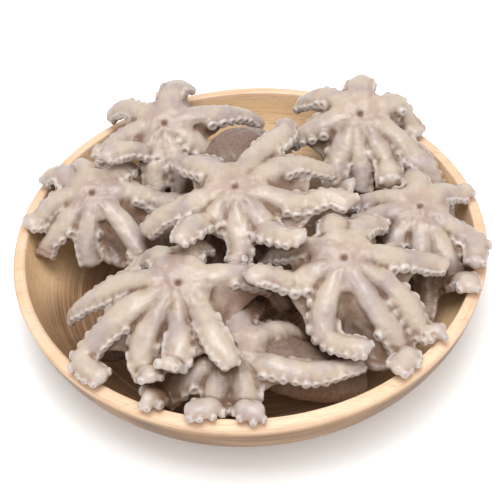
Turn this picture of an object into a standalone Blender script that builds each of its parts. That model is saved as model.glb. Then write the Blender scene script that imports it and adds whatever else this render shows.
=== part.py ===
"""Plate of baby octopus: cooked baby octopuses heaped on a round, turned wooden plate.

Metres, +Z up. The origin is the centre of the plate's foot, -Y is the front of the plate.
Each octopus is one closed solid: a round head (the mantle), a hub with a web, and eight arms.
They are laid one after the other, from the bottom of the heap to its top, and every arm is
walked outwards over whatever lies below it, so no two solids meet.
"""

import math

import bmesh
import bpy
import numpy as np
from mathutils import Vector

MM = 0.001

# Plate: a shallow bowl with a curved wall and a rim whose top slopes outwards.
PLATE_RADIUS = 100 * MM
PLATE_HEIGHT = 38 * MM
FOOT_RADIUS = 60 * MM
FLOOR_THICKNESS = 7 * MM
FLOOR_RADIUS = 56 * MM
RIM_WIDTH = 5.2 * MM
RIM_DROP = 1.4 * MM
RIM_ROUNDING = 1.0 * MM
WALL_LEAN_TOP = math.radians(9)
WALL_SHOULDER_HEIGHT = 5 * MM
WALL_STEPS = 5
PLATE_SEGMENTS = 44

# Octopus: one animal's proportions. Every octopus below states its own size factor.
ARMS = 8
HUB_HALF_HEIGHT = 6.2 * MM
ARM_HALF_WIDTH = 5.8 * MM
ARM_HALF_HEIGHT = 4.4 * MM
TIP_SHARE = 0.66
HEAD_RADIUS = 12 * MM
NECK_RADIUS = 5.5 * MM
NECK_DEPTH = 14 * MM
WEB_THICKNESS = 2.0 * MM
WEB_SAG = 2.6 * MM
WEB_REACH = 0.6
GAP = 0.8 * MM

# How finely the solids and the heap are sampled.
WALK_STEPS = 22
WEB_STATIONS = (0.18, 0.38, WEB_REACH)
ARM_STATIONS = (0.7, 0.81, 0.91, 0.985)
HEAD_STATIONS = (0.45, 0.7, 0.93)
GRID_STEP = 1.0 * MM
FREE_SHARE = 0.22
WAVE = 26

# Angles round an arm's section, from its top towards the next arm, anticlockwise.
RIDGE = (-75, 0, 75)
BELLY = (105, 180, 255)

SKIN_COLOUR = (0.66, 0.55, 0.47, 1)
WOOD_COLOUR = (0.72, 0.50, 0.30, 1)


# The octopuses, bottom first. size: against the proportions above. hub: X, Y and height of
# the hub in mm. lean: how far the hub tips over, in degrees, and towards which direction.
# droop: how steeply an arm's tip hangs, in degrees. head: direction, pitch and length in mm,
# and for a bent neck how far it goes forward and left in mm. arms: direction, length in mm and
# turn in degrees, anticlockwise round the hub, and for a curled tip its slope in degrees.
OCTOPUSES = {
    "octopus_under": dict(
        size=1.0, hub=(-16, 4, 42), lean=(0, 0), droop=62, head=(-25, -35, 32),
        arms=((5, 50, 0), (50, 44, 10), (95, 42, 0), (140, 42, 10), (175, 50, 0),
              (220, 62, -6), (268, 46, 0), (318, 54, 10)),
    ),
    "octopus_front": dict(
        size=1.06, hub=(-9, -65, 45), lean=(14, 280), droop=62, head=(-4, -28, 60),
        arms=((28, 40, 0), (78, 42, 0), (130, 40, 0), (172, 46, 0), (205, 58, 20),
              (240, 46, 14), (277, 46, 5), (325, 58, 62, 0)),
    ),
    "octopus_left": dict(
        size=1.02, hub=(-65, 22, 50), lean=(24, 265), droop=62, head=(10, -60, 26),
        arms=((8, 48, -40), (55, 36, 0), (98, 34, 10), (132, 36, 25), (170, 36, 60),
              (208, 36, 20), (255, 32, 20), (322, 68, -120, -10)),
    ),
    "octopus_right": dict(
        size=1.02, hub=(72, 0, 49), lean=(14, 270), droop=62, head=(-75, -65, 26),
        arms=((45, 34, -10), (92, 40, 0), (140, 40, 10), (176, 50, 5), (222, 38, 0),
              (266, 56, 0), (296, 56, -4), (334, 46, -60)),
    ),
    "octopus_back_left": dict(
        size=1.04, hub=(-33, 55, 57), lean=(26, 265), droop=58, head=(300, -78, 24),
        arms=((20, 54, 0), (76, 42, 0), (138, 40, 0), (178, 40, 10), (220, 40, 10),
              (252, 34, 0), (286, 34, 0), (332, 30, 40)),
    ),
    "octopus_back_right": dict(
        size=1.07, hub=(52, 53, 56), lean=(28, 270), droop=60, head=(250, -70, 24),
        arms=((28, 42, -20), (85, 38, 0), (135, 40, 0), (178, 44, 0), (228, 52, 95, 0),
              (264, 36, 0), (300, 52, -40, 0), (338, 52, -60)),
    ),
    "octopus_front_left": dict(
        size=1.1, hub=(-29, -43, 60), lean=(24, 262), droop=62, head=(180, -42, 50),
        arms=((22, 54, -70), (72, 36, 0), (115, 34, 0), (162, 58, 15), (192, 70, 70),
              (224, 58, 80, 0), (264, 50, -4), (308, 44, -30)),
    ),
    "octopus_front_right": dict(
        size=1.1, hub=(37, -36, 60), lean=(24, 275), droop=62, head=(10, -65, 28),
        arms=((14, 50, -20), (60, 40, 0), (100, 40, 0), (148, 42, 0), (192, 46, 10),
              (236, 56, 105, 10), (302, 68, -6), (336, 60, -45)),
    ),
    "octopus_top": dict(
        size=1.12, hub=(-4, 0, 68), lean=(14, 262), droop=48, head=(72, -6, 52, 28, 22),
        arms=((32, 54, 0), (64, 66, 0), (124, 46, 0), (184, 46, 5), (228, 44, 0),
              (268, 38, 0), (304, 46, 10), (350, 54, -5)),
    ),
}


def clear_scene():
    for obj in list(bpy.data.objects):
        bpy.data.objects.remove(obj)


def material(name, colour, roughness):
    made = bpy.data.materials.new(name)
    made.use_nodes = True
    shader = made.node_tree.nodes["Principled BSDF"]
    shader.inputs["Base Color"].default_value = colour
    shader.inputs["Roughness"].default_value = roughness
    shader.inputs["Metallic"].default_value = 0
    return made


def new_object(name, bm, finish):
    for face in bm.faces:
        face.smooth = True
    mesh = bpy.data.meshes.new(name)
    bm.to_mesh(mesh)
    bm.free()
    mesh.materials.append(finish)
    obj = bpy.data.objects.new(name, mesh)
    bpy.context.scene.collection.objects.link(obj)
    return obj


# ---------------------------------------------------------------- plate

def wall_curve(foot, shoulder, top):
    """A curved wall from foot to top: a quadratic curve pulled towards its shoulder."""
    points = []
    for step in range(WALL_STEPS + 1):
        t = step / WALL_STEPS
        points.append(foot * (1 - t) ** 2 + shoulder * (2 * t * (1 - t)) + top * t * t)
    return points


def shoulder_below(top):
    """Where a wall that leaves the rim at WALL_LEAN_TOP bends in towards its foot."""
    drop = top.z - WALL_SHOULDER_HEIGHT
    return Vector((top.x - drop * math.tan(WALL_LEAN_TOP), 0, WALL_SHOULDER_HEIGHT))


def inner_wall():
    """The inside of the plate's wall, from its floor up to its rim."""
    top = Vector((PLATE_RADIUS - RIM_WIDTH, 0, PLATE_HEIGHT - RIM_ROUNDING))
    bend = shoulder_below(top) + Vector((0, 0, FLOOR_THICKNESS - RIM_ROUNDING))
    return wall_curve(Vector((FLOOR_RADIUS, 0, FLOOR_THICKNESS)), bend, top)


def plate_profile():
    """The plate's section at +X, from the middle of its floor, over the rim, to its foot."""
    outer_top = Vector((PLATE_RADIUS, 0, PLATE_HEIGHT - RIM_DROP - RIM_ROUNDING))
    outer = wall_curve(Vector((FOOT_RADIUS, 0, 0)), shoulder_below(outer_top), outer_top)
    rim_inner = Vector((PLATE_RADIUS - RIM_WIDTH + RIM_ROUNDING, 0, PLATE_HEIGHT))
    rim_outer = Vector((PLATE_RADIUS - RIM_ROUNDING, 0, PLATE_HEIGHT - RIM_DROP))
    return (
        [Vector((0, 0, FLOOR_THICKNESS))]
        + inner_wall()
        + [rim_inner, rim_outer]
        + outer[::-1]
        + [Vector((0, 0, 0))]
    )


def make_plate(finish):
    bm = bmesh.new()
    verts = [bm.verts.new(point) for point in plate_profile()]
    edges = [bm.edges.new(pair) for pair in zip(verts, verts[1:])]
    bmesh.ops.spin(
        bm, geom=verts + edges, cent=(0, 0, 0), axis=(0, 0, 1),
        angle=2 * math.pi, steps=PLATE_SEGMENTS, use_merge=True,
    )
    bmesh.ops.remove_doubles(bm, verts=bm.verts, dist=0.01 * MM)
    bmesh.ops.recalc_face_normals(bm, faces=bm.faces)
    return new_object("plate", bm, finish)


# ---------------------------------------------------------------- heap

class Heap:
    """The height of everything laid so far, over a square grid that covers the plate."""

    def __init__(self):
        self.cells = int(round(2 * PLATE_RADIUS / GRID_STEP)) + 1
        axis = (np.arange(self.cells) - (self.cells - 1) / 2) * GRID_STEP
        self.x, self.y = np.meshgrid(axis, axis, indexing="ij")
        profile = plate_profile()
        rim = max(range(len(profile)), key=lambda i: profile[i].x)
        radii = [point.x for point in profile[: rim + 1]]
        heights = [point.z for point in profile[: rim + 1]]
        self.top = np.interp(np.hypot(self.x, self.y), radii, heights)

    def patch(self, centre, radius):
        """The cells under a ball, and how far the ball's surface lies from its middle there."""
        middle = (self.cells - 1) / 2
        reach = int(radius / GRID_STEP) + 1
        i = int(round(centre.x / GRID_STEP + middle))
        j = int(round(centre.y / GRID_STEP + middle))
        rows = slice(max(i - reach, 0), min(i + reach + 1, self.cells))
        columns = slice(max(j - reach, 0), min(j + reach + 1, self.cells))
        across = (self.x[rows, columns] - centre.x) ** 2 + (self.y[rows, columns] - centre.y) ** 2
        half = np.sqrt(np.clip(radius**2 - across, 0, None))
        return rows, columns, half, across < radius**2

    def rest(self, centre, radius):
        """The lowest height at which a ball over that point lies clear of the heap."""
        rows, columns, half, under = self.patch(centre, radius + GAP)
        return float(np.max(np.where(under, self.top[rows, columns] + half, 0)))

    def cover(self, centre, radius):
        """Raises the heap to the top of a ball."""
        rows, columns, half, under = self.patch(centre, radius)
        region = self.top[rows, columns]
        region[under] = np.maximum(region[under], centre.z + half[under])


# ---------------------------------------------------------------- octopus

def heading_vector(degrees, pitch=0.0):
    turn = math.radians(degrees)
    return Vector((
        math.cos(turn) * math.cos(pitch), math.sin(turn) * math.cos(pitch), math.sin(pitch),
    ))


def arm_half_width(share):
    """Half an arm's width at a share of its length from the hub: it tapers to a blunt tip."""
    return ARM_HALF_WIDTH * (1 - (1 - TIP_SHARE) * share)


def arm_half_height(share):
    hub_part = max(0.0, 1 - share / WEB_REACH) ** 2
    arm_part = ARM_HALF_HEIGHT * (1 - (1 - TIP_SHARE) * share)
    return arm_part + (HUB_HALF_HEIGHT - ARM_HALF_HEIGHT) * hub_part


def head_radius(share):
    """The head's outline: a bag that swells from the neck and rounds off at its far end."""
    bag = math.sqrt(max(0.0, 1 - ((share - 0.68) / 0.34) ** 2))
    return max(HEAD_RADIUS * bag, NECK_RADIUS * min(1.0, 1.6 * (1 - share)))


def keep_on_plate(point, radius):
    """Pulls a point in so that a ball there stays inside the plate's outline."""
    reach = math.hypot(point.x, point.y)
    most = PLATE_RADIUS - radius - 0.5 * MM
    if reach > most:
        point.x *= most / reach
        point.y *= most / reach


def lay_point(heap, point, radius):
    keep_on_plate(point, radius)
    point.z = max(point.z, heap.rest(point, radius))


def curl_share(share):
    """0 up to the middle of an arm, 1 at its tip, and smooth between."""
    part = min(max((share - 0.5) / 0.45, 0), 1)
    return part * part * (3 - 2 * part)


def walk_arm(heap, hub, design, arm, phase):
    """An arm's middle line, walked outwards from the hub and laid over the heap."""
    direction, length, turn, *curl = arm
    droop = -design["droop"]
    lift = (curl[0] if curl else droop) - droop
    tip_over, towards = design["lean"]
    step = length * MM / WALK_STEPS
    start = -tip_over * math.cos(math.radians(direction - towards))
    route = [hub.copy()]
    for index in range(WALK_STEPS):
        share = (index + 0.5) / WALK_STEPS
        pitch = start * (1 - share) + droop * share + lift * curl_share(share)
        heading = direction + turn * share**1.6 + WAVE * share * math.sin(7 * share + phase)
        point = route[-1] + heading_vector(heading, math.radians(pitch)) * step
        if share > FREE_SHARE:
            for _ in range(3):
                lay_point(heap, point, design["size"] * arm_half_width(share))
                point = route[-1] + (point - route[-1]).normalized() * step
        route.append(point)
    for _ in range(3):
        route[1:-1] = [
            (before + point * 2 + after) / 4
            for before, point, after in zip(route, route[1:], route[2:])
        ]
    for index, point in enumerate(route):
        if index > FREE_SHARE * WALK_STEPS:
            lay_point(heap, point, design["size"] * arm_half_width(index / WALK_STEPS))
    return route


def lay_head(heap, hub, size, head):
    """The head's middle line: down the neck, then away, and swung up until it is clear."""
    direction, pitch, length, *bend = head
    forward, left = bend or (0, 0)
    neck = hub - Vector((0, 0, NECK_DEPTH))
    far = neck + heading_vector(direction, math.radians(pitch)) * length * MM
    neck += (heading_vector(direction) * forward + heading_vector(direction + 90) * left) * MM
    route = []
    steepest = 0.0
    for index in range(WALK_STEPS + 1):
        share = index / WALK_STEPS
        point = hub * (1 - share) ** 2 + neck * (2 * share * (1 - share)) + far * share**2
        radius = size * head_radius(share)
        keep_on_plate(point, radius)
        if share > FREE_SHARE:
            steepest = max(steepest, (heap.rest(point, radius) - point.z) / share)
        route.append(point)
    for index, point in enumerate(route):
        point.z += steepest * index / WALK_STEPS
    return route


class Line:
    """A limb's middle line, evenly spaced points from the hub outwards, and its size."""

    def __init__(self, route, size):
        self.route = route
        self.size = size

    def at(self, share):
        place = min(max(share, 0), 1) * WALK_STEPS
        index = min(int(place), WALK_STEPS - 1)
        return self.route[index].lerp(self.route[index + 1], place - index)

    def along(self, share):
        return (self.at(share + 0.05) - self.at(share - 0.05)).normalized()


class Arm(Line):
    """One arm: a middle line with a flattened round section."""

    def side(self, share):
        along = self.along(share)
        return Vector((-along.y, along.x, 0)).normalized()

    def half_width(self, share):
        """An arm is narrower by the hub, where all eight share the way round it."""
        from_hub = (self.at(share) - self.at(0)).length
        return min(self.size * arm_half_width(share), 0.8 * from_hub * math.tan(math.pi / ARMS))

    def point(self, share, degrees):
        side = self.side(share)
        up = self.along(share).cross(side)
        turn = math.radians(degrees)
        return (
            self.at(share)
            + side * math.sin(turn) * self.half_width(share)
            + up * math.cos(turn) * self.size * arm_half_height(share)
        )

    def cover(self, heap, first):
        for index, point in enumerate(self.route):
            if index >= first * WALK_STEPS:
                heap.cover(point, self.size * arm_half_width(index / WALK_STEPS))


class Octopus:
    """Lays one octopus over the heap, then gives its surface as rings of points."""

    def __init__(self, heap, design):
        self.heap = heap
        self.size = design["size"]
        self.hub = Vector([value * MM for value in design["hub"]])
        self.hub.z = max(self.hub.z, heap.rest(self.hub, self.size * HUB_HALF_HEIGHT))
        self.head = Line(lay_head(heap, self.hub, self.size, design["head"]), self.size)
        self.cover_head(0.62, 0.8)
        self.arms = []
        for number, arm in enumerate(design["arms"]):
            route = walk_arm(heap, self.hub, design, arm, 2.4 * number + self.hub.x * 90)
            self.arms.append(Arm(route, self.size))
            self.arms[-1].cover(heap, 0.6)
        self.webs = [self.web_middles(share) for share in WEB_STATIONS]
        self.cover_crown()

    def cover_head(self, first, share_of_radius):
        for index, point in enumerate(self.head.route):
            if index >= first * WALK_STEPS:
                radius = self.size * head_radius(index / WALK_STEPS)
                self.heap.cover(point, radius * share_of_radius)

    def cover_crown(self):
        self.cover_head(0, 1)
        self.heap.cover(self.hub, self.size * HUB_HALF_HEIGHT + GAP)
        for arm in self.arms:
            arm.cover(self.heap, 0)
        for middles in self.webs:
            for middle in middles:
                self.heap.cover(middle, 2 * WEB_THICKNESS)

    def web_middles(self, share):
        """The middles of the webs between the arms: they sag, and their edges are scooped."""
        inward = share * (1 - 0.22 * share / WEB_REACH)
        middles = []
        for arm, following in zip(self.arms, self.arms[1:] + self.arms[:1]):
            middle = (arm.point(inward, 90) + following.point(inward, -90)) / 2
            middle.z -= WEB_SAG * (share / WEB_REACH) ** 2
            middle.z = max(middle.z, self.heap.rest(middle, WEB_THICKNESS / 2))
            middles.append(middle)
        return middles

    def web_loop(self, share, middles, side):
        """A loop round the hub over all arms and webs, on their upper or their lower side.

        The hub is a low dome: the nearer to it, the thicker the web and the narrower the arms'
        part of the section.
        """
        outward = min(1.0, share / WEB_REACH)
        thickness = self.size * HUB_HALF_HEIGHT * 0.85 * (1 - outward) + WEB_THICKNESS / 2 * outward
        edge = 40 + 35 * outward
        middle_angle, edges = (0, (-edge, edge)) if side > 0 else (180, (180 + edge, 180 - edge))
        loop = []
        for arm, middle in zip(self.arms, middles):
            loop.append(arm.point(share, edges[0]))
            loop.append(arm.point(share, middle_angle))
            loop.append(arm.point(share, edges[1]))
            loop.append(middle + Vector((0, 0, side * thickness)))
        return loop

    def head_ring(self, share, neck):
        """A ring of the head whose points face the same way round as the neck's."""
        turned = Vector((0, 0, -1)).rotation_difference(self.head.along(share))
        ring = []
        for point in neck:
            spoke = Vector((point.x - self.hub.x, point.y - self.hub.y, 0)).normalized()
            ring.append(self.head.at(share) + turned @ spoke * self.size * head_radius(share))
        return ring


def bridge(bm, first, second):
    """Quads between two closed loops with the same number of points."""
    for index in range(len(first)):
        after = (index + 1) % len(first)
        bm.faces.new((first[index], first[after], second[after], second[index]))


def fan(bm, ring, pole):
    for index in range(len(ring)):
        bm.faces.new((ring[index], ring[(index + 1) % len(ring)], pole))


def skin_octopus(octopus):
    """One closed surface over the hub, webs, arms and head of an octopus."""
    bm = bmesh.new()

    def verts(points):
        return [bm.verts.new(point) for point in points]

    uppers, lowers = [], []
    for share, middles in zip(WEB_STATIONS, octopus.webs):
        uppers.append(verts(octopus.web_loop(share, middles, 1)))
        lowers.append(verts(octopus.web_loop(share, middles, -1)))
    crown = octopus.hub + Vector((0, 0, octopus.size * HUB_HALF_HEIGHT))
    fan(bm, uppers[0], bm.verts.new(crown))
    for loops in (uppers, lowers):
        for first, second in zip(loops, loops[1:]):
            bridge(bm, first, second)

    neck = lowers[0]
    heads = [verts(octopus.head_ring(share, [v.co for v in neck])) for share in HEAD_STATIONS]
    for first, second in zip([neck, *heads], heads):
        bridge(bm, first, second)
    fan(bm, heads[-1], bm.verts.new(octopus.head.at(1)))

    size = len(RIDGE) + 1
    for index, arm in enumerate(octopus.arms):
        top = uppers[-1][index * size:][:size]
        belly = lowers[-1][index * size:][:size]
        after = (index + 1) % ARMS * size
        bm.faces.new((top[-2], top[-1], belly[-1], belly[-2]))
        bm.faces.new((top[-1], uppers[-1][after], lowers[-1][after], belly[-1]))
        ring = top[:-1] + belly[-2::-1]
        for share in ARM_STATIONS:
            following = verts([arm.point(share, angle) for angle in RIDGE + BELLY])
            bridge(bm, ring, following)
            ring = following
        tip = arm.at(1) + arm.along(1) * arm.size * arm_half_height(1) * 0.5
        fan(bm, ring, bm.verts.new(tip))

    bmesh.ops.recalc_face_normals(bm, faces=bm.faces)
    if bm.calc_volume(signed=True) < 0:
        bmesh.ops.reverse_faces(bm, faces=bm.faces)
    return bm


def main():
    clear_scene()
    wood = material("beech_wood", WOOD_COLOUR, 0.5)
    skin = material("octopus_skin", SKIN_COLOUR, 0.4)
    make_plate(wood)
    heap = Heap()
    for name, design in OCTOPUSES.items():
        new_object(name, skin_octopus(Octopus(heap, design)), skin)


main()
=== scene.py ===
# %% [markdown]
# # A plate of baby octopus
#
# The real dish is a round, shallow plate turned from pale wood, heaped with small cooked
# octopuses. Their arms drape over one another, and rows of suckers scallop every edge.
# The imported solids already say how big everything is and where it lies. This lesson builds the
# surface that a cook would see: wet flesh, webs, suckers and wood grain.

# %% Load the frame
import math

import bpy
import numpy as np
from mathutils import Matrix, Vector, kdtree


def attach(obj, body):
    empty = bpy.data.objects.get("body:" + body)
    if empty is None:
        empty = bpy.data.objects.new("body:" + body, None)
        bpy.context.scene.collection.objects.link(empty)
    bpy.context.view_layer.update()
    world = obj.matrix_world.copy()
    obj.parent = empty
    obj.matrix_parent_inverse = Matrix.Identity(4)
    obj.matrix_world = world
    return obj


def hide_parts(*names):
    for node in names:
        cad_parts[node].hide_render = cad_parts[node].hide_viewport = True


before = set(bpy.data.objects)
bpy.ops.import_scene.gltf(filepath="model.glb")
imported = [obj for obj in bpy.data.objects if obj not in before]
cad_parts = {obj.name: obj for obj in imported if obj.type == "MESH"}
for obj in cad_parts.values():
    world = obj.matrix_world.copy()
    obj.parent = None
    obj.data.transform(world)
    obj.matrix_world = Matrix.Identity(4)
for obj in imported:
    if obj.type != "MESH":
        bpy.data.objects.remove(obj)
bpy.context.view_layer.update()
MM = 0.001
print("solids loaded:", len(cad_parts))

# %% [markdown]
# ## The camera
#
# The dish is seen from the front and from halfway up, a little turned in the hand. A long lens
# from some way off keeps the plate's rim close to a true ellipse. The camera could be aimed with
# a Track To constraint, but a matrix built from its own axes also holds the small roll.

# %% Camera
CAMERA_DISTANCE = 0.75
CAMERA_ELEVATION = math.radians(45.85)
CAMERA_ROLL = math.radians(-4.2)
CAMERA_AIM_HEIGHT = 38 * MM
LENS = 128
LENS_SHIFT = (0.0016, -0.018)
SENSOR_WIDTH = 36


def aim_camera():
    forward = Vector((0, math.cos(CAMERA_ELEVATION), -math.sin(CAMERA_ELEVATION)))
    data = bpy.data.cameras.new("camera")
    data.lens = LENS
    data.sensor_width = SENSOR_WIDTH
    data.shift_x, data.shift_y = LENS_SHIFT
    camera = bpy.data.objects.new("camera", data)
    bpy.context.scene.collection.objects.link(camera)
    place = Matrix.Translation(Vector((0, 0, CAMERA_AIM_HEIGHT)) - forward * CAMERA_DISTANCE)
    look = forward.to_track_quat("-Z", "Y").to_matrix().to_4x4()
    camera.matrix_world = place @ look @ Matrix.Rotation(CAMERA_ROLL, 4, "Z")
    bpy.context.scene.camera = camera
    return camera


camera = aim_camera()
print("camera at", tuple(round(value, 3) for value in camera.matrix_world.translation))

# %% [markdown]
# ## The table and the light
#
# Food is lit softly so that wet skin shines without hard glare. One broad lamp high above gives
# the sheen and the shape, and a weaker one in front lights what faces the viewer. A bright, even
# surround fills the shadows; it is a little warm, because light that reaches a hollow in a heap
# has passed over flesh and wood on its way. A floor of plain white card goes under it all.

# %% Table and light
SURROUND_COLOUR = (1, 0.95, 0.9, 1)
SURROUND_STRENGTH = 0.58
FLOOR_SIZE = 6
FLOOR_GAP = 0.5 * MM


def add_area_light(name, place, size, power, colour=(1, 1, 1)):
    data = bpy.data.lights.new(name, "AREA")
    data.size = size
    data.energy = power
    data.color = colour
    light = bpy.data.objects.new(name, data)
    bpy.context.scene.collection.objects.link(light)
    light.location = place
    light.rotation_euler = (-Vector(place)).to_track_quat("-Z", "Y").to_euler()


def light_the_table():
    world = bpy.data.worlds.new("surround")
    world.use_nodes = True
    surround = world.node_tree.nodes["Background"].inputs
    surround["Color"].default_value = SURROUND_COLOUR
    surround["Strength"].default_value = SURROUND_STRENGTH
    bpy.context.scene.world = world
    bpy.context.scene.view_settings.view_transform = "Standard"
    add_area_light("lamp_high", (-0.02, -0.1, 1.0), size=0.6, power=8.4, colour=(0.95, 0.98, 1))
    add_area_light("lamp_front", (0.1, -0.6, 0.85), size=0.5, power=2.2)


light_the_table()
bpy.ops.object.select_all(action="DESELECT")
bpy.ops.mesh.primitive_plane_add(size=FLOOR_SIZE, location=(0, 0, -FLOOR_GAP))
floor = bpy.context.object
floor.name = "floor"
print("floor and lights are in place")

# %% [markdown]
# ## Writing materials as sums
#
# A finish is a small network of nodes. Wiring it by hand takes a line for every link, so one
# small class wraps a socket and lets it be added and multiplied like a number, and another
# holds one material's nodes. Colours never pass through a Math node, which would turn them grey.

# %% Helpers for materials


def paint(red, green, blue):
    """A colour as it looks on a screen, 0 to 255, turned into the linear values Blender mixes."""
    linear = [((part / 255 + 0.055) / 1.055) ** 2.4 for part in (red, green, blue)]
    return (*linear, 1)


class Wire:
    """A number socket that can be used in sums."""

    def __init__(self, finish, socket):
        self.finish = finish
        self.socket = socket

    def sum(self, operation, first, second):
        return self.finish.add("ShaderNodeMath", {"operation": operation}, {0: first, 1: second})

    def __add__(self, other):
        return self.sum("ADD", self, other)

    def __radd__(self, other):
        return self.sum("ADD", other, self)

    def __rsub__(self, other):
        return self.sum("SUBTRACT", other, self)

    def __mul__(self, other):
        return self.sum("MULTIPLY", self, other)

    def __rmul__(self, other):
        return self.sum("MULTIPLY", other, self)


class Finish:
    """One material and its nodes."""

    def __init__(self, name):
        self.material = bpy.data.materials.new(name)
        self.material.use_nodes = True
        self.tree = self.material.node_tree
        self.surface = self.tree.nodes["Principled BSDF"]

    def plug(self, value, socket):
        if isinstance(value, Wire):
            self.tree.links.new(value.socket, socket)
        else:
            socket.default_value = value

    def add(self, kind, settings=None, inputs=None, output=0):
        node = self.tree.nodes.new(kind)
        for key, value in (settings or {}).items():
            setattr(node, key, value)
        for key, value in (inputs or {}).items():
            self.plug(value, node.inputs[key])
        return Wire(self, node.outputs[output])

    def set(self, **values):
        for name, value in values.items():
            self.plug(value, self.surface.inputs[name.replace("_", " ").title()])

    def mark(self, name):
        """A number stored on the piece's vertices."""
        return self.add("ShaderNodeAttribute", {"attribute_name": name}, None, "Fac")

    def mix(self, share, first, second):
        inputs = {0: share, 6: first, 7: second}
        return self.add("ShaderNodeMix", {"data_type": "RGBA"}, inputs, 2)

    def tint(self, colour, layers):
        """Lays tints over a colour, each by the share beside it."""
        for share, tint in layers:
            colour = self.mix(share, colour, paint(*tint))
        return colour

    def band(self, value, low, high):
        """0 below low, 1 above high, and smooth between."""
        settings = {"interpolation_type": "SMOOTHSTEP"}
        return self.add("ShaderNodeMapRange", settings, {"Value": value, 1: low, 2: high})

    def noise(self, place, scale, detail=3, roughness=0.55):
        inputs = {"Vector": place, "Scale": scale, "Detail": detail, "Roughness": roughness}
        return self.add("ShaderNodeTexNoise", None, inputs, "Fac")

    def stretched(self, scale, turn=(0, 0, 0)):
        """Object coordinates, stretched and turned."""
        place = self.add("ShaderNodeTexCoord", None, None, "Object")
        inputs = {"Vector": place, "Scale": scale, "Rotation": turn}
        return self.add("ShaderNodeMapping", None, inputs)

    def bump(self, height, distance, strength=1.0):
        inputs = {"Height": height, "Distance": distance, "Strength": strength}
        return self.add("ShaderNodeBump", None, inputs, "Normal")


card = Finish("white_card")
card.set(base_color=(0.93, 0.93, 0.93, 1), roughness=0.9)
card.surface.inputs["Emission Color"].default_value = (1, 1, 1, 1)
card.surface.inputs["Emission Strength"].default_value = 0.2
floor.data.materials.append(card.material)
print("floor finish:", card.material.name)

# %% [markdown]
# ## Pieces and their hand-over
#
# Every finished piece rides on the one body of this dish, takes its finish in its own material
# slot, and stands for an imported solid, which is then hidden.

# %% Helpers for pieces


def deselect():
    if bpy.context.object and bpy.context.object.mode != "OBJECT":
        bpy.ops.object.mode_set(mode="OBJECT")
    bpy.ops.object.select_all(action="DESELECT")


def select_only(*pieces):
    deselect()
    for piece in pieces:
        piece.select_set(True)
    bpy.context.view_layer.objects.active = pieces[0]


def apply_modifier(piece, kind, **settings):
    """Adds a modifier, sets it up and applies it, as the modifier menu would."""
    select_only(piece)
    modifier = piece.modifiers.new(kind.lower(), kind)
    for key, value in settings.items():
        setattr(modifier, key, value)
    bpy.ops.object.modifier_apply(modifier=modifier.name)


def coordinates(piece):
    flat = np.empty(len(piece.data.vertices) * 3, np.float32)
    piece.data.vertices.foreach_get("co", flat)
    return flat.reshape(-1, 3).astype(float)


def move_vertices(piece, places):
    piece.data.vertices.foreach_set("co", np.asarray(places, np.float32).ravel())
    piece.data.update()


def ease(value, low, high):
    """0 below low, 1 above high, and smooth between."""
    share = np.clip((value - low) / (high - low), 0, 1)
    return share * share * (3 - 2 * share)


def write_mark(piece, name, values):
    """Stores one number per vertex, for a material to read."""
    attribute = piece.data.attributes.new(name, "FLOAT", "POINT")
    attribute.data.foreach_set("value", np.asarray(values, np.float32))


def hand_over(piece, node, finish):
    piece.data.materials.clear()
    piece.data.materials.append(finish.material)
    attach(piece, "root")
    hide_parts(node)


print("helpers ready")

# %% [markdown]
# ## The plate
#
# A wood turner makes such a plate on a lathe: the wall is thin and curved, and the top of its
# rim slopes outwards. Spinning a drawn section is the same thing in Blender. The section starts
# as one point and grows by extrusion, up the inside wall, over the rounded rim and down to the
# foot.

# %% Section of the plate
PLATE_RADIUS = 100 * MM
PLATE_HEIGHT = 38 * MM
FOOT_RADIUS = 60 * MM
FLOOR_RADIUS = 56 * MM
FLOOR_THICKNESS = 7 * MM
RIM_WIDTH = 5.2 * MM
RIM_DROP = 1.4 * MM
RIM_ROUNDING = 1.0 * MM
RIM_FLARE = 0.15 * MM
RIM_SLOPE = 0.2 * MM
RIM_DRAW_IN = 0.1 * MM
FOOT_EDGE = 3 * MM
WALL_LEAN_TOP = math.radians(9)
WALL_SHOULDER_HEIGHT = 5 * MM
WALL_STEPS = 14
CORNER_STEPS = 3
TURN_STEPS = 144


def shoulder_below(top):
    drop = top.z - WALL_SHOULDER_HEIGHT
    return Vector((top.x - drop * math.tan(WALL_LEAN_TOP), 0, WALL_SHOULDER_HEIGHT))


def curve_between(start, middle, end, steps):
    shares = [step / steps for step in range(steps + 1)]
    return [start * (1 - t) ** 2 + middle * (2 * t * (1 - t)) + end * t * t for t in shares]


def plate_inside():
    top = Vector((PLATE_RADIUS - RIM_WIDTH, 0, PLATE_HEIGHT - RIM_ROUNDING))
    bend = shoulder_below(top) + Vector((0, 0, FLOOR_THICKNESS - RIM_ROUNDING))
    return curve_between(Vector((FLOOR_RADIUS, 0, FLOOR_THICKNESS)), bend, top, WALL_STEPS)


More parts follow.
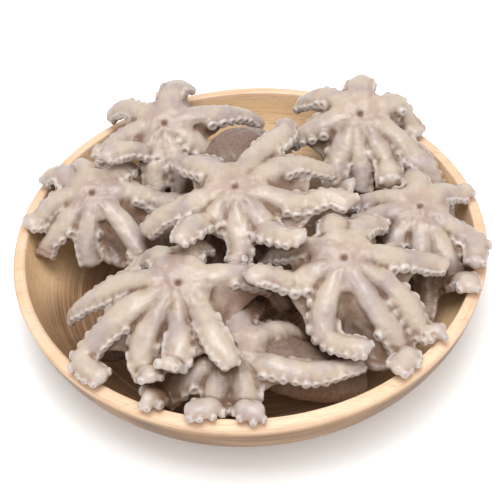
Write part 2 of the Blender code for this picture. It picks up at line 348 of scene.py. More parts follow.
def plate_section():
    inside = plate_inside()
    past_edge = Vector((RIM_ROUNDING, 0, -RIM_SLOPE))
    inner_edge = Vector((PLATE_RADIUS - RIM_WIDTH + RIM_FLARE, 0, PLATE_HEIGHT))
    inner_corner = curve_between(inside[-1], inner_edge, inner_edge + past_edge, CORNER_STEPS)
    outer_top = Vector((PLATE_RADIUS, 0, PLATE_HEIGHT - RIM_DROP - RIM_ROUNDING))
    outer_edge = Vector((PLATE_RADIUS - RIM_DRAW_IN, 0, PLATE_HEIGHT - RIM_DROP))
    outer_corner = curve_between(outer_edge - past_edge, outer_edge, outer_top, CORNER_STEPS)
    foot_edge = Vector((FOOT_RADIUS, 0, 0))
    outer = curve_between(foot_edge, shoulder_below(outer_top), outer_top, WALL_STEPS)
    middle = [Vector((0, 0, FLOOR_THICKNESS)), Vector((FLOOR_RADIUS / 2, 0, FLOOR_THICKNESS))]
    foot = [Vector((FOOT_RADIUS - FOOT_EDGE, 0, 0)), Vector((0, 0, 0))]
    return middle + inside[:-1] + inner_corner + outer_corner + outer[-2::-1] + foot


print("section points:", len(plate_section()))

# %% Turn the plate


def turn_plate():
    deselect()
    bpy.ops.mesh.primitive_plane_add(size=1 * MM, location=(0, 0, 0))
    piece = bpy.context.object
    piece.name = "turned_plate"
    bpy.ops.object.mode_set(mode="EDIT")
    bpy.ops.mesh.select_all(action="SELECT")
    bpy.ops.mesh.merge(type="CENTER")
    section = plate_section()
    bpy.ops.transform.translate(value=section[0])
    for before, point in zip(section, section[1:]):
        bpy.ops.mesh.extrude_region_move(TRANSFORM_OT_translate={"value": point - before})
    bpy.ops.mesh.select_all(action="SELECT")
    bpy.ops.mesh.spin(steps=TURN_STEPS, angle=2 * math.pi, center=(0, 0, 0), axis=(0, 0, 1))
    bpy.ops.mesh.select_all(action="SELECT")
    bpy.ops.mesh.remove_doubles(threshold=0.01 * MM)
    bpy.ops.mesh.normals_make_consistent(inside=False)
    bpy.ops.object.mode_set(mode="OBJECT")
    bpy.ops.object.shade_smooth_by_angle(angle=math.radians(50))
    return piece


plate = turn_plate()
print("plate faces:", len(plate.data.polygons))

# %% [markdown]
# ## Wood
#
# The plate is cut across a plank, so its grain runs one way through the whole of it: long
# streaks along the sides, and short specks at the front and back, where the fibres end. A solid
# pattern in object coordinates, stretched along the grain, gives both from one recipe. Fine
# dark pores and broad paler and darker bands lie over a warm base, with the turner's fine lines
# round the plate. Light and shade are painted in too: the wood under the heap, and furthest
# towards the front left, is darkened as painted shade of the heap, the outer wall is painted
# darker as shade, and the top of the rim is painted paler, as lit from above.

# %% Wood finish
RIM_BAND = 1.4 * MM
WALL_PART = 2 * MM
# Painted shade of the heap on the wood: above this height, fading between radii in mm.
PAINTED_SHADE_ABOVE = 6 * MM
PAINTED_SHADE_EDGE = (66, 86)
PAINTED_SHADE_EDGE_SPREAD = (22, 13)
LINES_ACROSS = 900
LINES_AROUND = (25, 9)


def mark_plate():
    """Marks painted shade (outer wall, under the heap) and painted light (rim), by radius and
    height.
    """
    points = coordinates(plate)
    height = points[:, 2]
    radius = np.hypot(points[:, 0], points[:, 1])
    wall = plate_inside()
    inner = np.interp(height, [p.z for p in wall], [p.x for p in wall])
    rim_from = PLATE_HEIGHT - RIM_DROP - RIM_BAND
    # The painted shade of the heap reaches further out towards the front left.
    front_left = ease(-(points[:, 0] + points[:, 1]) / np.maximum(radius, MM), 0.7, 1.35)
    start, end = ((PAINTED_SHADE_EDGE[k] + PAINTED_SHADE_EDGE_SPREAD[k] * front_left) * MM for k in range(2))
    # Painted shade: the outer wall below the rim is darker.
    write_mark(plate, "painted_wall_shade", (radius > inner + WALL_PART) * (height < rim_from))
    # Painted light: the top of the rim is paler.
    write_mark(plate, "rim", height > rim_from)
    # Painted shade of the heap on the inner wood.
    write_mark(plate, "painted_heap_shade", (1 - ease(radius, start, end)) * (height > PAINTED_SHADE_ABOVE))


def wood_finish():
    wood = Finish("pale_wood")
    place = wood.add("ShaderNodeTexCoord", None, None, "Object")
    x, y, z = (wood.add("ShaderNodeSeparateXYZ", None, {0: place}, axis) for axis in range(3))
    radius = x.sum("SQRT", x * x + y * y, 0)
    around = x * LINES_AROUND[0] + y * LINES_AROUND[1]
    inputs = {0: radius * LINES_ACROSS, 1: z * LINES_ACROSS, 2: around}
    turned = wood.add("ShaderNodeCombineXYZ", None, inputs)
    lines = wood.noise(turned, 1.0, 3, 0.6)
    broad = wood.noise(wood.stretched((5, 60, 60), (0, 0.04, 0.1)), 1.0, 4, 0.6)
    fibres = wood.noise(wood.stretched((24, 420, 420), (0, 0.05, 0.06)), 1.0, 5, 0.65)
    pores = wood.noise(wood.stretched((90, 1500, 1500)), 1.0, 2, 0.5)
    colour = wood.tint(paint(236, 198, 152), (
        # Painted light on the top of the rim.
        (wood.mark("rim"), (236, 203, 172)),
        # Painted shade on the outer wall.
        (wood.mark("painted_wall_shade"), (100, 77, 56)),
        # Painted shade of the heap on the inner wood.
        (wood.mark("painted_heap_shade") * 0.92, (104, 70, 46)),
        (wood.band(broad, 0.35, 0.68) * 0.3, (200, 152, 108)),
        (wood.band(lines, 0.45, 0.7) * 0.3, (238, 210, 178)),
        ((1 - wood.band(lines, 0.3, 0.5)) * 0.25, (150, 104, 70)),
        (wood.band(fibres, 0.5, 0.75) * 0.3, (150, 104, 68)),
        (wood.band(pores, 0.58, 0.72) * 0.25, (140, 96, 62)),
    ))
    height = fibres * 0.4 + pores * 0.3 + lines * 0.3
    wood.set(base_color=colour, roughness=0.46 + fibres * 0.14,
             normal=wood.bump(height, 0.12 * MM, 0.5))
    wood.surface.inputs["Specular IOR Level"].default_value = 0.35
    wood.surface.inputs["Coat Weight"].default_value = 0.05
    wood.surface.inputs["Coat Roughness"].default_value = 0.35
    return wood


mark_plate()
hand_over(plate, "plate", wood_finish())
print("plate finished")

# %% [markdown]
# ## Laying the heap
#
# Each octopus has a hub, a round head below it and eight arms that hang outwards. In a heap, an
# arm falls until something holds it up. A cloth simulation could drop them, but it is slow and
# never lands twice in the same place. A height grid is enough: it starts as the inside of the
# plate, each arm is walked outwards and lifted over whatever the grid holds, and then the arm
# raises the grid for the next one.

# %% Height grid
GRID_STEP = 1 * MM
GAP = 0.5 * MM


class Heap:
    """The height of the heap over a square grid, in metres."""

    def __init__(self):
        self.cells = int(round(2 * PLATE_RADIUS / GRID_STEP)) + 1
        self.middle = (self.cells - 1) / 2
        axis = (np.arange(self.cells) - self.middle) * GRID_STEP
        self.x, self.y = np.meshgrid(axis, axis, indexing="ij")
        rim = Vector((PLATE_RADIUS, 0, PLATE_HEIGHT))
        profile = [Vector((0, 0, FLOOR_THICKNESS)), *plate_inside(), rim]
        radius = np.hypot(self.x, self.y)
        self.top = np.interp(radius, [p.x for p in profile], [p.z for p in profile])

    def patch(self, centre, radius):
        """The cells near a ball, with its half height over each and whether it is over them."""
        reach = int(radius / GRID_STEP) + 1
        i, j = (int(round(value / GRID_STEP + self.middle)) for value in (centre.x, centre.y))
        rows = slice(max(i - reach, 0), min(i + reach + 1, self.cells))
        columns = slice(max(j - reach, 0), min(j + reach + 1, self.cells))
        across = (self.x[rows, columns] - centre.x) ** 2 + (self.y[rows, columns] - centre.y) ** 2
        return rows, columns, np.sqrt(np.clip(radius**2 - across, 0, None)), across < radius**2

    def rest(self, centre, radius):
        """The lowest height at which a ball over that point lies clear of the heap."""
        rows, columns, half, under = self.patch(centre, radius + GAP)
        return float(np.max(np.where(under, self.top[rows, columns] + half, 0)))

    def cover(self, centre, radius):
        """Raises the heap to the top of a ball."""
        rows, columns, half, under = self.patch(centre, radius)
        region = self.top[rows, columns]
        region[under] = np.maximum(region[under], centre.z + half[under])


heap = Heap()
print("grid cells across the plate:", heap.cells)

# %% [markdown]
# ## The octopuses' places
#
# The table below says how each octopus lies, bottom of the heap first: its size, its hub, which
# way the hub leans, how steeply its arms hang, where its head points (and how far its neck
# bends forward and left on the way), and for every arm its direction, its length in millimetres
# and how far it turns on its way. A fourth number, where there is one, is the slope at which the
# tip curls up again. The webs' line gives, for every arm, how far along it the web to the next
# arm reaches.

# %% Poses
ARMS = 8
HUB_HALF_HEIGHT = 6.2 * MM
ARM_HALF_WIDTH = 5.8 * MM
TIP_SHARE = 0.66
HEAD_RADIUS = 12 * MM
NECK_RADIUS = 5.5 * MM
NECK_DEPTH = 14 * MM
BAG_FLATNESS = 0.8
WEB_REACH = 0.6
STEPS = 44

OCTOPUSES = {
    "octopus_under": dict(
        size=1.0, hub=(-16, 4, 42), lean=(0, 0), droop=62, head=(-25, -35, 32),
        arms=((5, 50, 0), (50, 44, 10), (95, 42, 0), (140, 42, 10), (175, 50, 0),
              (220, 62, -6), (268, 46, 0), (318, 54, 10)),
    ),
    "octopus_front": dict(
        size=1.06, hub=(-9, -65, 45), lean=(14, 280), droop=62, head=(-4, -28, 60),
        arms=((28, 40, 0), (78, 42, 0), (130, 40, 0), (172, 46, 0), (205, 58, 20),
              (240, 46, 14), (277, 46, 5), (325, 58, 62, 0)),
        webs=(0.66, 0.64, 0.6, 0.55, 0.58, 0.5, 0.5, 0.74),
    ),
    "octopus_left": dict(
        size=1.02, hub=(-65, 22, 50), lean=(24, 265), droop=62, head=(10, -60, 26),
        arms=((8, 48, -40), (55, 36, 0), (98, 34, 10), (132, 36, 25), (170, 36, 60),
              (208, 36, 20), (255, 32, 20), (322, 68, -120, -10)),
        webs=(0.6, 0.6, 0.6, 0.6, 0.6, 0.76, 0.8, 0.66),
    ),
    "octopus_right": dict(
        size=1.02, hub=(72, 0, 49), lean=(14, 270), droop=62, head=(-75, -65, 26),
        arms=((45, 34, -10), (92, 40, 0), (140, 40, 10), (176, 50, 5), (222, 38, 0),
              (266, 56, 0), (296, 56, -4), (334, 46, -60)),
        webs=(0.6, 0.6, 0.6, 0.6, 0.7, 0.76, 0.66, 0.6),
    ),
    "octopus_back_left": dict(
        size=1.04, hub=(-33, 55, 57), lean=(26, 265), droop=58, head=(300, -78, 24),
        arms=((20, 54, 0), (76, 42, 0), (138, 40, 0), (178, 40, 10), (220, 40, 10),
              (252, 34, 0), (286, 34, 0), (332, 30, 40)),
        webs=(0.74, 0.62, 0.62, 0.6, 0.55, 0.5, 0.5, 0.62),
    ),
    "octopus_back_right": dict(
        size=1.07, hub=(52, 53, 56), lean=(28, 270), droop=60, head=(250, -70, 24),
        arms=((28, 42, -20), (85, 38, 0), (135, 40, 0), (178, 44, 0), (228, 52, 95, 0),
              (264, 36, 0), (300, 52, -40, 0), (338, 52, -60)),
        webs=(0.7, 0.64, 0.68, 0.62, 0.7, 0.56, 0.68, 0.72),
    ),
    "octopus_front_left": dict(
        size=1.1, hub=(-29, -43, 60), lean=(24, 262), droop=62, head=(180, -42, 50),
        arms=((22, 54, -70), (72, 36, 0), (115, 34, 0), (162, 58, 15), (192, 70, 70),
              (224, 58, 80, 0), (264, 50, -4), (308, 44, -30)),
        webs=(0.68, 0.6, 0.6, 0.6, 0.66, 0.76, 0.78, 0.7),
    ),
    "octopus_front_right": dict(
        size=1.1, hub=(37, -36, 60), lean=(24, 275), droop=62, head=(10, -65, 28),
        arms=((14, 50, -20), (60, 40, 0), (100, 40, 0), (148, 42, 0), (192, 46, 10),
              (236, 56, 105, 10), (302, 68, -6), (336, 60, -45)),
        webs=(0.66, 0.62, 0.6, 0.6, 0.6, 0.8, 0.74, 0.66),
    ),
    "octopus_top": dict(
        size=1.12, hub=(-4, 0, 68), lean=(14, 262), droop=48, head=(72, -6, 52, 28, 22),
        arms=((32, 54, 0), (64, 66, 0), (124, 46, 0), (184, 46, 5), (228, 44, 0),
              (268, 38, 0), (304, 46, 10), (350, 54, -5)),
        webs=(0.8, 0.66, 0.6, 0.7, 0.62, 0.64, 0.68, 0.74),
    ),
}
print("octopuses:", len(OCTOPUSES))

# %% Walk the arms
FREE_SHARE = 0.22
LATE_TURN = 1.6
WAVE = 26
WAVE_RATE = 7
CURL_SHARES = (0.5, 0.95)
LAYING_ROUNDS = 3
SMOOTHING_ROUNDS = 10
BAG_MIDDLE = 0.68
BAG_HALF_LENGTH = 0.34
PLATE_MARGIN = 0.5 * MM


def heading_vector(degrees, pitch=0.0):
    turn, flat = math.radians(degrees), math.cos(pitch)
    return Vector((math.cos(turn) * flat, math.sin(turn) * flat, math.sin(pitch)))


def taper(share):
    return 1 - (1 - TIP_SHARE) * share


def head_radius(share):
    """A bag that swells from the neck and rounds off at its far end."""
    bag = math.sqrt(max(0.0, 1 - ((share - BAG_MIDDLE) / BAG_HALF_LENGTH) ** 2))
    return max(HEAD_RADIUS * bag, NECK_RADIUS * min(1.0, 1.6 * (1 - share)))


def keep_on_plate(point, radius):
    reach = math.hypot(point.x, point.y)
    most = PLATE_RADIUS - radius - PLATE_MARGIN
    if reach > most:
        point.x *= most / reach
        point.y *= most / reach


def lay_point(point, radius):
    keep_on_plate(point, radius)
    point.z = max(point.z, heap.rest(point, radius))


def walk_arm(hub, design, arm, phase):
    """An arm's middle line, walked outwards from the hub and laid over the heap."""
    direction, length, turn, *tip_slope = arm
    droop = -design["droop"]
    lift = tip_slope[0] if tip_slope else droop
    tip_over, towards = design["lean"]
    step = length * MM / STEPS
    start = -tip_over * math.cos(math.radians(direction - towards))
    route = [hub.copy()]
    for index in range(STEPS):
        share = (index + 0.5) / STEPS
        curl = (lift - droop) * ease(share, *CURL_SHARES)
        pitch = start * (1 - share) + droop * share + curl
        wave = WAVE * share * math.sin(WAVE_RATE * share + phase)
        heading = direction + turn * share**LATE_TURN + wave
        point = route[-1] + heading_vector(heading, math.radians(pitch)) * step
        if share > FREE_SHARE:
            for _ in range(LAYING_ROUNDS):
                lay_point(point, design["size"] * ARM_HALF_WIDTH * taper(share))
                point = route[-1] + (point - route[-1]).normalized() * step
        route.append(point)
    for _ in range(SMOOTHING_ROUNDS):
        route[1:-1] = [(a + b * 2 + c) / 4 for a, b, c in zip(route, route[1:], route[2:])]
    return route


def lay_head(hub, design):
    """The head's middle line: down the neck, then away, and swung up until it is clear."""
    direction, pitch, length, *bend = design["head"]
    forward, left = bend or (0, 0)
    neck = hub - Vector((0, 0, NECK_DEPTH))
    far = neck + heading_vector(direction, math.radians(pitch)) * length * MM
    neck += (heading_vector(direction) * forward + heading_vector(direction + 90) * left) * MM
    route = curve_between(hub, neck, far, STEPS)
    steepest = 0.0
    for index, point in enumerate(route):
        share = index / STEPS
        radius = design["size"] * head_radius(share)
        keep_on_plate(point, radius)
        if share > FREE_SHARE:
            steepest = max(steepest, (heap.rest(point, radius * BAG_FLATNESS) - point.z) / share)
    for index, point in enumerate(route):
        point.z += steepest * index / STEPS
    return route


first_try = walk_arm(Vector((0, 0, 60 * MM)), OCTOPUSES["octopus_top"], (0, 50, 0), 0)
print("one arm reaches", round(first_try[-1].x, 3))

# %% [markdown]
# While an octopus is laid, only the far ends of its own head and arms count as heap, so that its
# arms can start together at the hub. When its last arm is down, all of it becomes heap for the
# next one. The waves of its arms start at different points, or they would look like one copy.

# %% Lay all octopuses
HEAD_END = 0.62
HEAD_END_SIZE = 0.8
ARM_OUTER_PART = 0.6
WAVE_SHIFT = 2.4
WAVE_SHIFT_PER_METRE = 90
GIRTH = 1.3
GIRTH_LOST_TO_WEBS = 0.25


class Limb:
    """A middle line with the directions across it and up from it at every step."""

    def __init__(self, route):
        self.line = np.array([tuple(point) for point in route])
        self.along = np.gradient(self.line, axis=0)
        self.along /= np.linalg.norm(self.along, axis=1, keepdims=True)
        self.side = np.stack([-self.along[:, 1], self.along[:, 0], 0 * self.along[:, 0]], axis=1)
        self.side /= np.linalg.norm(self.side, axis=1, keepdims=True)
        self.up = np.cross(self.along, self.side)
        self.length = float(np.linalg.norm(np.diff(self.line, axis=0), axis=1).sum())

    def read(self, track, shares):
        """The values of a track at shares along the limb."""
        place = np.clip(shares, 0, 1) * STEPS
        index = np.minimum(place.astype(int), STEPS - 1)
        part = (place - index)[:, None]
        return track[index] * (1 - part) + track[index + 1] * part

    def place(self, shares, across, above):
        """Points at shares along the limb, set off sideways and upwards."""
        return (self.read(self.line, shares) + self.read(self.side, shares) * across[:, None]
                + self.read(self.up, shares) * above[:, None])


class Animal:
    """Where one octopus lies: its hub, head line and arm lines."""

    def __init__(self, design):
        self.size = design["size"]
        self.hub = Vector([value * MM for value in design["hub"]])
        self.hub.z = max(self.hub.z, heap.rest(self.hub, self.size * HUB_HALF_HEIGHT))
        head = lay_head(self.hub, design)
        self.cover_head(head, HEAD_END, HEAD_END_SIZE)
        arms = []
        for number, arm in enumerate(design["arms"]):
            phase = WAVE_SHIFT * number + self.hub.x * WAVE_SHIFT_PER_METRE
            arms.append(walk_arm(self.hub, design, arm, phase))
            self.cover_arm(arms[-1], ARM_OUTER_PART)
        for route in arms:
            self.cover_arm(route, 0)
        self.cover_head(head, 0, 1)
        heap.cover(self.hub, self.size * HUB_HALF_HEIGHT)
        tip_over, towards = (math.radians(value) for value in design["lean"])
        self.tilt = Matrix.Rotation(towards, 3, "Z") @ Matrix.Rotation(tip_over, 3, "Y")
        self.head = Limb(head)
        self.arms = [Limb(route) for route in arms]
        self.webs = design.get("webs", (WEB_REACH,) * ARMS)
        for number, limb in enumerate(self.arms):
            limb.girth = GIRTH - GIRTH_LOST_TO_WEBS * (self.webs[number] + self.webs[number - 1])

    def cover_head(self, route, first, share_of_radius):
        for index, point in enumerate(route):
            if index >= first * STEPS:
                heap.cover(point, self.size * head_radius(index / STEPS) * share_of_radius)

    def cover_arm(self, route, first):
        for index, point in enumerate(route):
            if index >= first * STEPS:
                heap.cover(point, self.size * ARM_HALF_WIDTH * taper(index / STEPS))


animals = {name: Animal(design) for name, design in OCTOPUSES.items()}
print("highest hub:", round(max(animal.hub.z for animal in animals.values()) / MM, 1), "mm")

# %% [markdown]
# ## Modelling one octopus
#
# An arm is a long drop shape, thick and blunt, with a row of suckers along both edges. It is
# modelled once, as a sphere whose rings are spread along a line, and copied eight times on to
# the arms' lines. Webs are sheets hung between the arms, and the head is a bag on a neck. All of
# them are joined and wrapped in one skin by the Remesh modifier, which welds them as flesh is,
# with soft creases and no seams. A Displace modifier with a cloud texture adds soft lumps.

# %% Blanks to copy
ARM_BODY_WIDTH = 5.7 * MM
ARM_TIP_SHARE = 0.64
ARM_TOP_HEIGHT = 4.4 * MM
ARM_BELLY_HEIGHT = 4.2 * MM
HUB_REACH = (12.5 * MM, 12.5 * MM, 3.3 * MM)
SKIN_VOXEL = 0.64 * MM


def blank(name, add, **size):
    deselect()
    add(**size)
    made = bpy.context.object
    made.name = name
    return made


shapes = bpy.ops.mesh
ball = blank("ball_blank", shapes.primitive_uv_sphere_add, segments=16, ring_count=44, radius=1)
sheet = blank(
    "sheet_blank", shapes.primitive_grid_add, x_subdivisions=18, y_subdivisions=12, size=2
)
bead = blank("bead_blank", shapes.primitive_ico_sphere_add, subdivisions=2, radius=1)
print("blanks:", ball.name, sheet.name, bead.name)


def copy_of(made, places):
    piece = bpy.data.objects.new("part", made.data.copy())
    bpy.context.scene.collection.objects.link(piece)
    move_vertices(piece, places)
    return piece


# %% Arms, head and hub
POLE = 1e-4
CROWDING = 0.8
ROOT_WIDTH = 1.2 * MM
ROOT_LENGTH = 9 * MM
WANDER = 0.1
WANDER_RATE = 13
WANDER_SHIFT_PER_METRE = 900


def ring_places():
    """For the ball's vertices: share from pole to pole, and direction round the section."""
    places = coordinates(ball)
    shares = np.arccos(np.clip(places[:, 2], -1, 1)) / math.pi
    rim = np.maximum(np.hypot(places[:, 0], places[:, 1]), 1e-6)
    not_pole = (shares > POLE) & (shares < 1 - POLE)
    return shares, places[:, 0] / rim * not_pole, places[:, 1] / rim * not_pole


def arm_taper(shares):
    return 1 - (1 - ARM_TIP_SHARE) * shares


def arm_end(limb, size, shares):
    """1 along the arm, falling in a quarter circle to 0 at its tip."""
    start = 1 - size * ARM_BODY_WIDTH * ARM_TIP_SHARE / limb.length
    past = np.clip((shares - start) / (1 - start), 0, 1)
    return np.sqrt(1 - past**2)


def arm_width(limb, size, shares):
    """Half an arm's width: narrow at the hub, where eight share the way round, and uneven."""
    from_hub = shares * limb.length
    crowd = CROWDING * from_hub * math.tan(math.pi / ARMS) + ROOT_WIDTH
    phase = limb.line[-1, 0] * WANDER_SHIFT_PER_METRE
    girth = limb.girth + WANDER * np.sin(shares * WANDER_RATE + phase)
    return np.minimum(size * ARM_BODY_WIDTH * arm_taper(shares) * girth, crowd)


def lay_arm(limb, size):
    shares, across, above = ring_places()
    end = arm_end(limb, size, shares)
    width = arm_width(limb, size, shares) * end
    rise = 0.62 + 0.38 * np.clip(shares * limb.length / ROOT_LENGTH, 0, 1)
    tall = size * arm_taper(shares) * end * rise * limb.girth
    height = np.where(above > 0, ARM_TOP_HEIGHT, ARM_BELLY_HEIGHT) * tall
    return copy_of(ball, limb.place(shares, across * width, above * height))


def lay_bag(limb, size):
    shares, across, above = ring_places()
    radius = size * np.array([head_radius(share) for share in shares])
    return copy_of(ball, limb.place(shares, across * radius, above * radius * BAG_FLATNESS))


def lay_hub(animal):
    places = coordinates(ball) * np.array(HUB_REACH) * animal.size
    return copy_of(ball, places @ np.array(animal.tilt).T + np.array(animal.hub))


# %% Webs
WEB_HOLD = 0.55
WEB_LEVEL = 2.8
WEB_LEVEL_DROP = 2.3
WEB_LEVEL_EASE = (6 * MM, 30 * MM)
WEB_SCOOP = 0.14
WEB_DEPTH = 0.36
WEB_WIDEST_DIP = 24 * MM
WEB_THICKNESS = 2.6 * MM


def hang_web(animal, number):
    """A sheet between an arm and the next, scooped at its free edge and drawn in between them."""
    first, second = animal.arms[number], animal.arms[(number + 1) % ARMS]
    places = coordinates(sheet)
    out, aside = (places[:, 0] + 1) / 2, (places[:, 1] + 1) / 2
    dip = 4 * aside * (1 - aside)
    shares = animal.webs[number] * (0.03 + 0.97 * out) * (1 - WEB_SCOOP * dip * out)
    level = (WEB_LEVEL - WEB_LEVEL_DROP * ease(shares * first.length, *WEB_LEVEL_EASE)) * MM
    left = first.place(shares, arm_width(first, animal.size, shares) * WEB_HOLD, level)
    right = second.place(shares, -arm_width(second, animal.size, shares) * WEB_HOLD, level)
    points = left * (1 - aside[:, None]) + right * aside[:, None]
    gap = np.linalg.norm(right - left, axis=1)
    inward = -(first.read(first.up, shares) + second.read(second.up, shares))
    inward /= np.linalg.norm(inward, axis=1, keepdims=True)
    depth = WEB_DEPTH * (0.4 + animal.webs[number])
    points += inward * (np.minimum(gap, WEB_WIDEST_DIP) * depth * dip)[:, None]
    web = copy_of(sheet, points)
    apply_modifier(web, "SOLIDIFY", thickness=WEB_THICKNESS, offset=0)
    return web


# %% [markdown]
# ### Suckers
#
# Suckers stand in two rows along an arm's lower edges, so from above they show as a soft
# scalloped border. Each is a round knob with a small cup in its face. The knobs are copies of one
# bead, welded on with everything else; the cups are pressed in afterwards.

# %% Rows of suckers
SUCKER_RADIUS = 3.0 * MM
SUCKER_PITCH = 1.66
SUCKER_SHRINKING = 0.45
SUCKER_START = 0.6
SUCKER_STAGGER = 1.6 * MM
SUCKER_TIP_GAP = 0.8 * MM
SUCKER_UNEVENNESS = (0.82, 1.1)
SUCKER_DROP = 0.6


class Suckers:
    """Two rows of suckers on every arm, smaller towards the tip."""

    def __init__(self, animal, chance):
        self.centres, self.facings, self.radii = [], [], []
        for number, limb in enumerate(animal.arms):
            for side in (-1, 1):
                web = animal.webs[number if side > 0 else number - 1]
                along = SUCKER_START * web * limb.length + (SUCKER_STAGGER if side > 0 else 0)
                while along < limb.length - SUCKER_TIP_GAP:
                    share = np.array([along / limb.length])
                    radius = animal.size * SUCKER_RADIUS * (1 - SUCKER_SHRINKING * share[0])
                    radius *= chance.uniform(*SUCKER_UNEVENNESS)
                    self.add(animal, limb, side, share, radius, chance.uniform(0, SUCKER_DROP) * MM)
                    along += radius * SUCKER_PITCH

    def add(self, animal, limb, side, share, radius, drop):
        width = arm_width(limb, animal.size, share) * arm_end(limb, animal.size, share)
        below = np.array([-0.1 * radius - drop])
        centre = limb.place(share, side * (width + 0.08 * radius), below)
        facing = side * limb.read(limb.side, share) + 0.1 * limb.read(limb.up, share)
        facing += limb.read(limb.along, share) * ease(share[0], 0.88, 1.0) * 1.5
        self.centres.append(centre[0])
        self.facings.append(facing[0] / np.linalg.norm(facing))
        self.radii.append(radius)

    def knobs(self):
        """One mesh with a copy of the bead at every place."""
        places = coordinates(bead)
        faces = np.array([face.vertices[:] for face in bead.data.polygons])
        sizes = np.array(self.radii)[:, None, None]
        points = places[None] * sizes + np.array(self.centres)[:, None, :]
        starts = np.arange(len(self.radii)) * len(places)
        rows = (faces[None] + starts[:, None, None]).reshape(-1, 3)
        mesh = bpy.data.meshes.new("knobs")
        mesh.from_pydata(points.reshape(-1, 3).tolist(), [], rows.tolist())
        piece = bpy.data.objects.new("knobs", mesh)
        bpy.context.scene.collection.objects.link(piece)
        return piece


# %% Wrap the parts in one skin
LUMP_SIZE = 7 * MM
LUMP_HEIGHT = 1.4 * MM

lumps = bpy.data.textures.new("lumps", "CLOUDS")
lumps.noise_scale = LUMP_SIZE
lumps.noise_depth = 2


def wrap_octopus(name, animal, suckers):
    parts = [lay_arm(limb, animal.size) for limb in animal.arms]
    parts += [hang_web(animal, number) for number in range(ARMS)]
    parts += [lay_bag(animal.head, animal.size), lay_hub(animal), suckers.knobs()]
    select_only(*parts)
    bpy.ops.object.join()
    piece = bpy.context.object
    piece.name = name
    apply_modifier(piece, "REMESH", mode="VOXEL", voxel_size=SKIN_VOXEL)
    apply_modifier(piece, "SMOOTH", factor=0.5, iterations=2)
    apply_modifier(piece, "DISPLACE", texture=lumps, strength=LUMP_HEIGHT, mid_level=0.5)
    select_only(piece)
    bpy.ops.object.shade_smooth()
    return piece


# %% [markdown]
# ### Mouth and cups
#
# In the middle of the hub, where all eight arms meet, is a small hole with soft lips. Every
# sucker has a cup. Both are craters pressed into the skin: points near the middle of the crater
# move inwards, and how far they moved is kept, because the mouth is darker and the cups get
# painted shade.

# %% Press the hollows
MOUTH_RADIUS = 1.1 * MM
MOUTH_DEPTH = 1.8 * MM
CUP_RADIUS = 0.42
CUP_DEPTH = 0.45


def press_mouth(points, animal):
    """Presses the mouth in and returns how much of it each point is."""
    axis = np.array(animal.tilt @ Vector((0, 0, 1)))
    offset = points - np.array(animal.hub)
    height = offset @ axis
    across = np.linalg.norm(offset - height[:, None] * axis, axis=1)
    press = np.exp(-((across / MOUTH_RADIUS) ** 2)) * (height > 0)
    points -= (press * MOUTH_DEPTH)[:, None] * axis
    return press


def press_cups(points, suckers):
    """Hollows every sucker and returns how much of a sucker and of a cup each point is."""
    tree = kdtree.KDTree(len(points))
    for index, point in enumerate(points):
        tree.insert(point, index)
    tree.balance()
    knob, cup = np.zeros(len(points)), np.zeros(len(points))
    for centre, facing, radius in zip(suckers.centres, suckers.facings, suckers.radii):
        near = np.array([index for _, index, _ in tree.find_range(centre, 1.5 * radius)])
        if not len(near):
            continue
        offset = points[near] - centre
        height = offset @ facing
        across = np.linalg.norm(offset - height[:, None] * facing, axis=1)
        press = np.exp(-((across / (CUP_RADIUS * radius)) ** 2)) * (height > 0)
        knob[near] = np.maximum(knob[near], ease(height, 0.1 * radius, 0.6 * radius))
        cup[near] = np.maximum(cup[near], press)
        points[near] -= (press * CUP_DEPTH * radius)[:, None] * facing
    return knob, cup


# %% [markdown]
# ## What the skin knows about itself
#
# Cooked octopus is not one colour: arms are cream and lilac, webs are duller, suckers are paler,
# and the head is grey brown and speckled. Light and shade are painted in as well: a painted
# highlight makes ridges and suckers paler, and painted shade browns the pockets between the arms,
# the creases, the sucker cups and whatever lies deep in the heap. Painting by hand would be lost
# at every change of shape, so each point of the skin is told what it belongs to, as a number from
# 0 to 1 in a named attribute, and the material mixes its colours by those numbers.

# %% Mark the skin
CREASE_SPREAD = 5.5 * MM
LEVEL_REACH = 6


def nearest_limb(points, limbs):
    """For every point: its distance to the nearest limb, and the share along it."""
    best = np.full(len(points), 1e9)
    share = np.zeros(len(points))
    for limb in limbs:
        gaps = np.linalg.norm(points[:, None, :] - limb.line[None], axis=2)
        nearest = gaps.argmin(axis=1)
        distance = gaps[np.arange(len(points)), nearest]
        closer = distance < best
        best[closer] = distance[closer]
        share[closer] = nearest[closer] / STEPS
    return best, share


def depth_in_heap(points):
    """How far each point lies below the heap's smoothed upper surface."""
    level = heap.top.copy()
    for axis in (0, 1):
        shifts = range(-LEVEL_REACH, LEVEL_REACH + 1)
        level = sum(np.roll(level, shift, axis) for shift in shifts) / len(shifts)
    cells = np.rint(points[:, :2] / GRID_STEP + heap.middle)
    rows, columns = np.clip(cells, 0, heap.cells - 1).astype(int).T
    return level[rows, columns] - points[:, 2]


def crease_depth(piece, points):
    """How far each point lies under its surroundings, found by smoothing a copy of the skin."""
    ends = np.empty(2 * len(piece.data.edges), dtype=np.int32)
    piece.data.edges.foreach_get("vertices", ends)
    first, second = ends.reshape(-1, 2).T
    size = len(points)
    neighbours = np.bincount(ends, minlength=size)
    smooth = points.T.copy()
    for _ in range(int((CREASE_SPREAD / SKIN_VOXEL) ** 2)):
        for axis in smooth:
            total = np.bincount(first, axis[second], size) + np.bincount(second, axis[first], size)
            axis += total / neighbours
            axis /= 2
    normals = np.empty(3 * len(points), dtype=np.float32)
    piece.data.vertices.foreach_get("normal", normals)
    return ((smooth.T - points) * normals.reshape(-1, 3)).sum(axis=1)


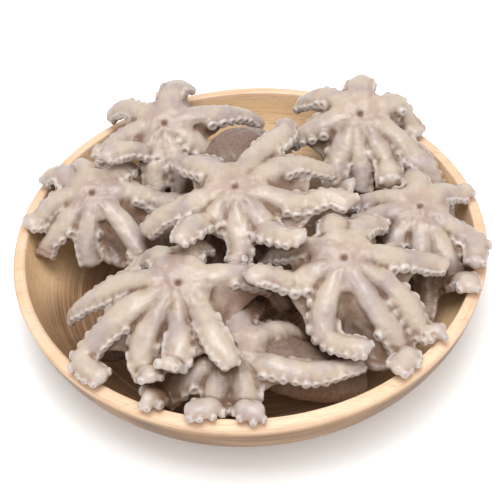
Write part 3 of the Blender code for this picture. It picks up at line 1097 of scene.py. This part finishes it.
def mark_skin(piece, animal, suckers):
    """Presses the hollows into the skin and stores what every point of it is."""
    points = coordinates(piece)
    mouth = press_mouth(points, animal)
    knob, cup = press_cups(points, suckers)
    move_vertices(piece, points)
    distance, share = nearest_limb(points, animal.arms)
    width = animal.size * ARM_BODY_WIDTH * arm_taper(share)
    bag, bag_share = nearest_limb(points, [animal.head])
    radius = animal.size * np.array([head_radius(value) for value in bag_share])
    head = ease(distance / width - bag / radius, -0.1, 0.5) * ease(bag_share, 0.2, 0.4)
    from_hub = np.linalg.norm(points - np.array(animal.hub), axis=1)
    crease = crease_depth(piece, points)
    marks = {
        # Webs: their own duller colour, and painted shade in the pockets between the arms.
        "web": ease(distance, width * 0.8, width * 1.3) * (1 - head) * (1 - knob),
        "hub": 1 - ease(from_hub, 4 * MM, 14 * MM),
        "tip": ease(share, 0.75, 1.0),
        # Suckers: their own paler colour, with a painted highlight on top.
        "sucker": knob * (1 - head),
        # Cups: painted shade in the small hollows.
        "cup": cup,
        "head": head,
        "mouth": mouth,
        # Painted shade for points deep in the heap.
        "deep_in_heap_shade": ease(depth_in_heap(points), -2 * MM, 9.5 * MM),
        # Painted shade in creases.
        "crease": ease(crease, 0.0, 0.7 * MM),
        # Painted highlight on ridges.
        "painted_ridge_highlight": ease(-crease, 0.2 * MM, 1.2 * MM),
    }
    for name, values in marks.items():
        write_mark(piece, name, values)


# %% [markdown]
# ## Wet flesh
#
# Boiled octopus is slightly clear at the surface: light enters, spreads a few millimetres and
# comes out warmer, which is subsurface scattering. Over it lies a film of water that gives small
# sharp highlights. A clear coat is the simplest way to have both a soft body and a sharp shine.

# %% Flesh finish


def flesh_finish():
    flesh = Finish("octopus_flesh")
    place = flesh.stretched((1, 1, 1))
    patches = flesh.noise(place, 75, 3)
    mottle = flesh.noise(place, 420, 4)
    grain = flesh.noise(place, 1500, 3)
    colour = flesh.tint(paint(191, 174, 157), (
        (flesh.band(patches, 0.44, 0.66), (173, 156, 151)),
        # The webs' own duller colour, with painted shade in the pockets between the arms.
        (flesh.mark("web") * (0.4 + 0.5 * flesh.band(patches, 0.3, 0.6)), (142, 117, 104)),
        (flesh.mark("hub") * 0.35, (188, 156, 142)),
        (flesh.band(mottle, 0.55, 0.75) * 0.3, (164, 134, 106)),
        (flesh.mark("tip") * 0.2, (180, 148, 122)),
        # Painted highlight on ridges.
        (flesh.mark("painted_ridge_highlight") * 0.42, (203, 197, 196)),
        # The suckers' own paler colour, with a painted highlight.
        (flesh.mark("sucker") * 0.5, (206, 198, 195)),
        # Painted shade in creases.
        (flesh.mark("crease") * 0.76, (114, 80, 54)),
        # Painted shade deep in the heap.
        (flesh.mark("deep_in_heap_shade") * 0.92, (104, 72, 48)),
        # Painted shade in the sucker cups.
        (flesh.mark("cup") * 0.5, (150, 118, 100)),
        (flesh.mark("mouth") * 0.7, (110, 80, 64)),
    ))
    speckle = flesh.band(grain, 0.5, 0.62) * 0.5 + flesh.band(mottle, 0.5, 0.7) * 0.4
    bag = flesh.mix(speckle, paint(130, 106, 94), paint(84, 62, 52))
    colour = flesh.mix(flesh.mark("head"), colour, bag)
    height = mottle * 0.7 + grain * 0.3
    flesh.set(base_color=colour, roughness=0.38 + mottle * 0.24,
              normal=flesh.bump(height, 0.35 * MM, 0.7))
    shader = flesh.surface.inputs
    shader["Subsurface Weight"].default_value = 0.22
    shader["Subsurface Radius"].default_value = (1.0, 0.45, 0.25)
    shader["Subsurface Scale"].default_value = 2 * MM
    shader["Coat Weight"].default_value = 0.35
    shader["Coat Roughness"].default_value = 0.2
    return flesh


flesh = flesh_finish()

# %% Make every octopus
for number, (name, animal) in enumerate(animals.items()):
    suckers = Suckers(animal, np.random.default_rng(number))
    piece = wrap_octopus("cooked_" + name, animal, suckers)
    mark_skin(piece, animal, suckers)
    hand_over(piece, name, flesh)
    print(piece.name, "faces:", len(piece.data.polygons), "suckers:", len(suckers.radii))

# %% Put the blanks away
for made in (ball, sheet, bead):
    bpy.data.objects.remove(made)
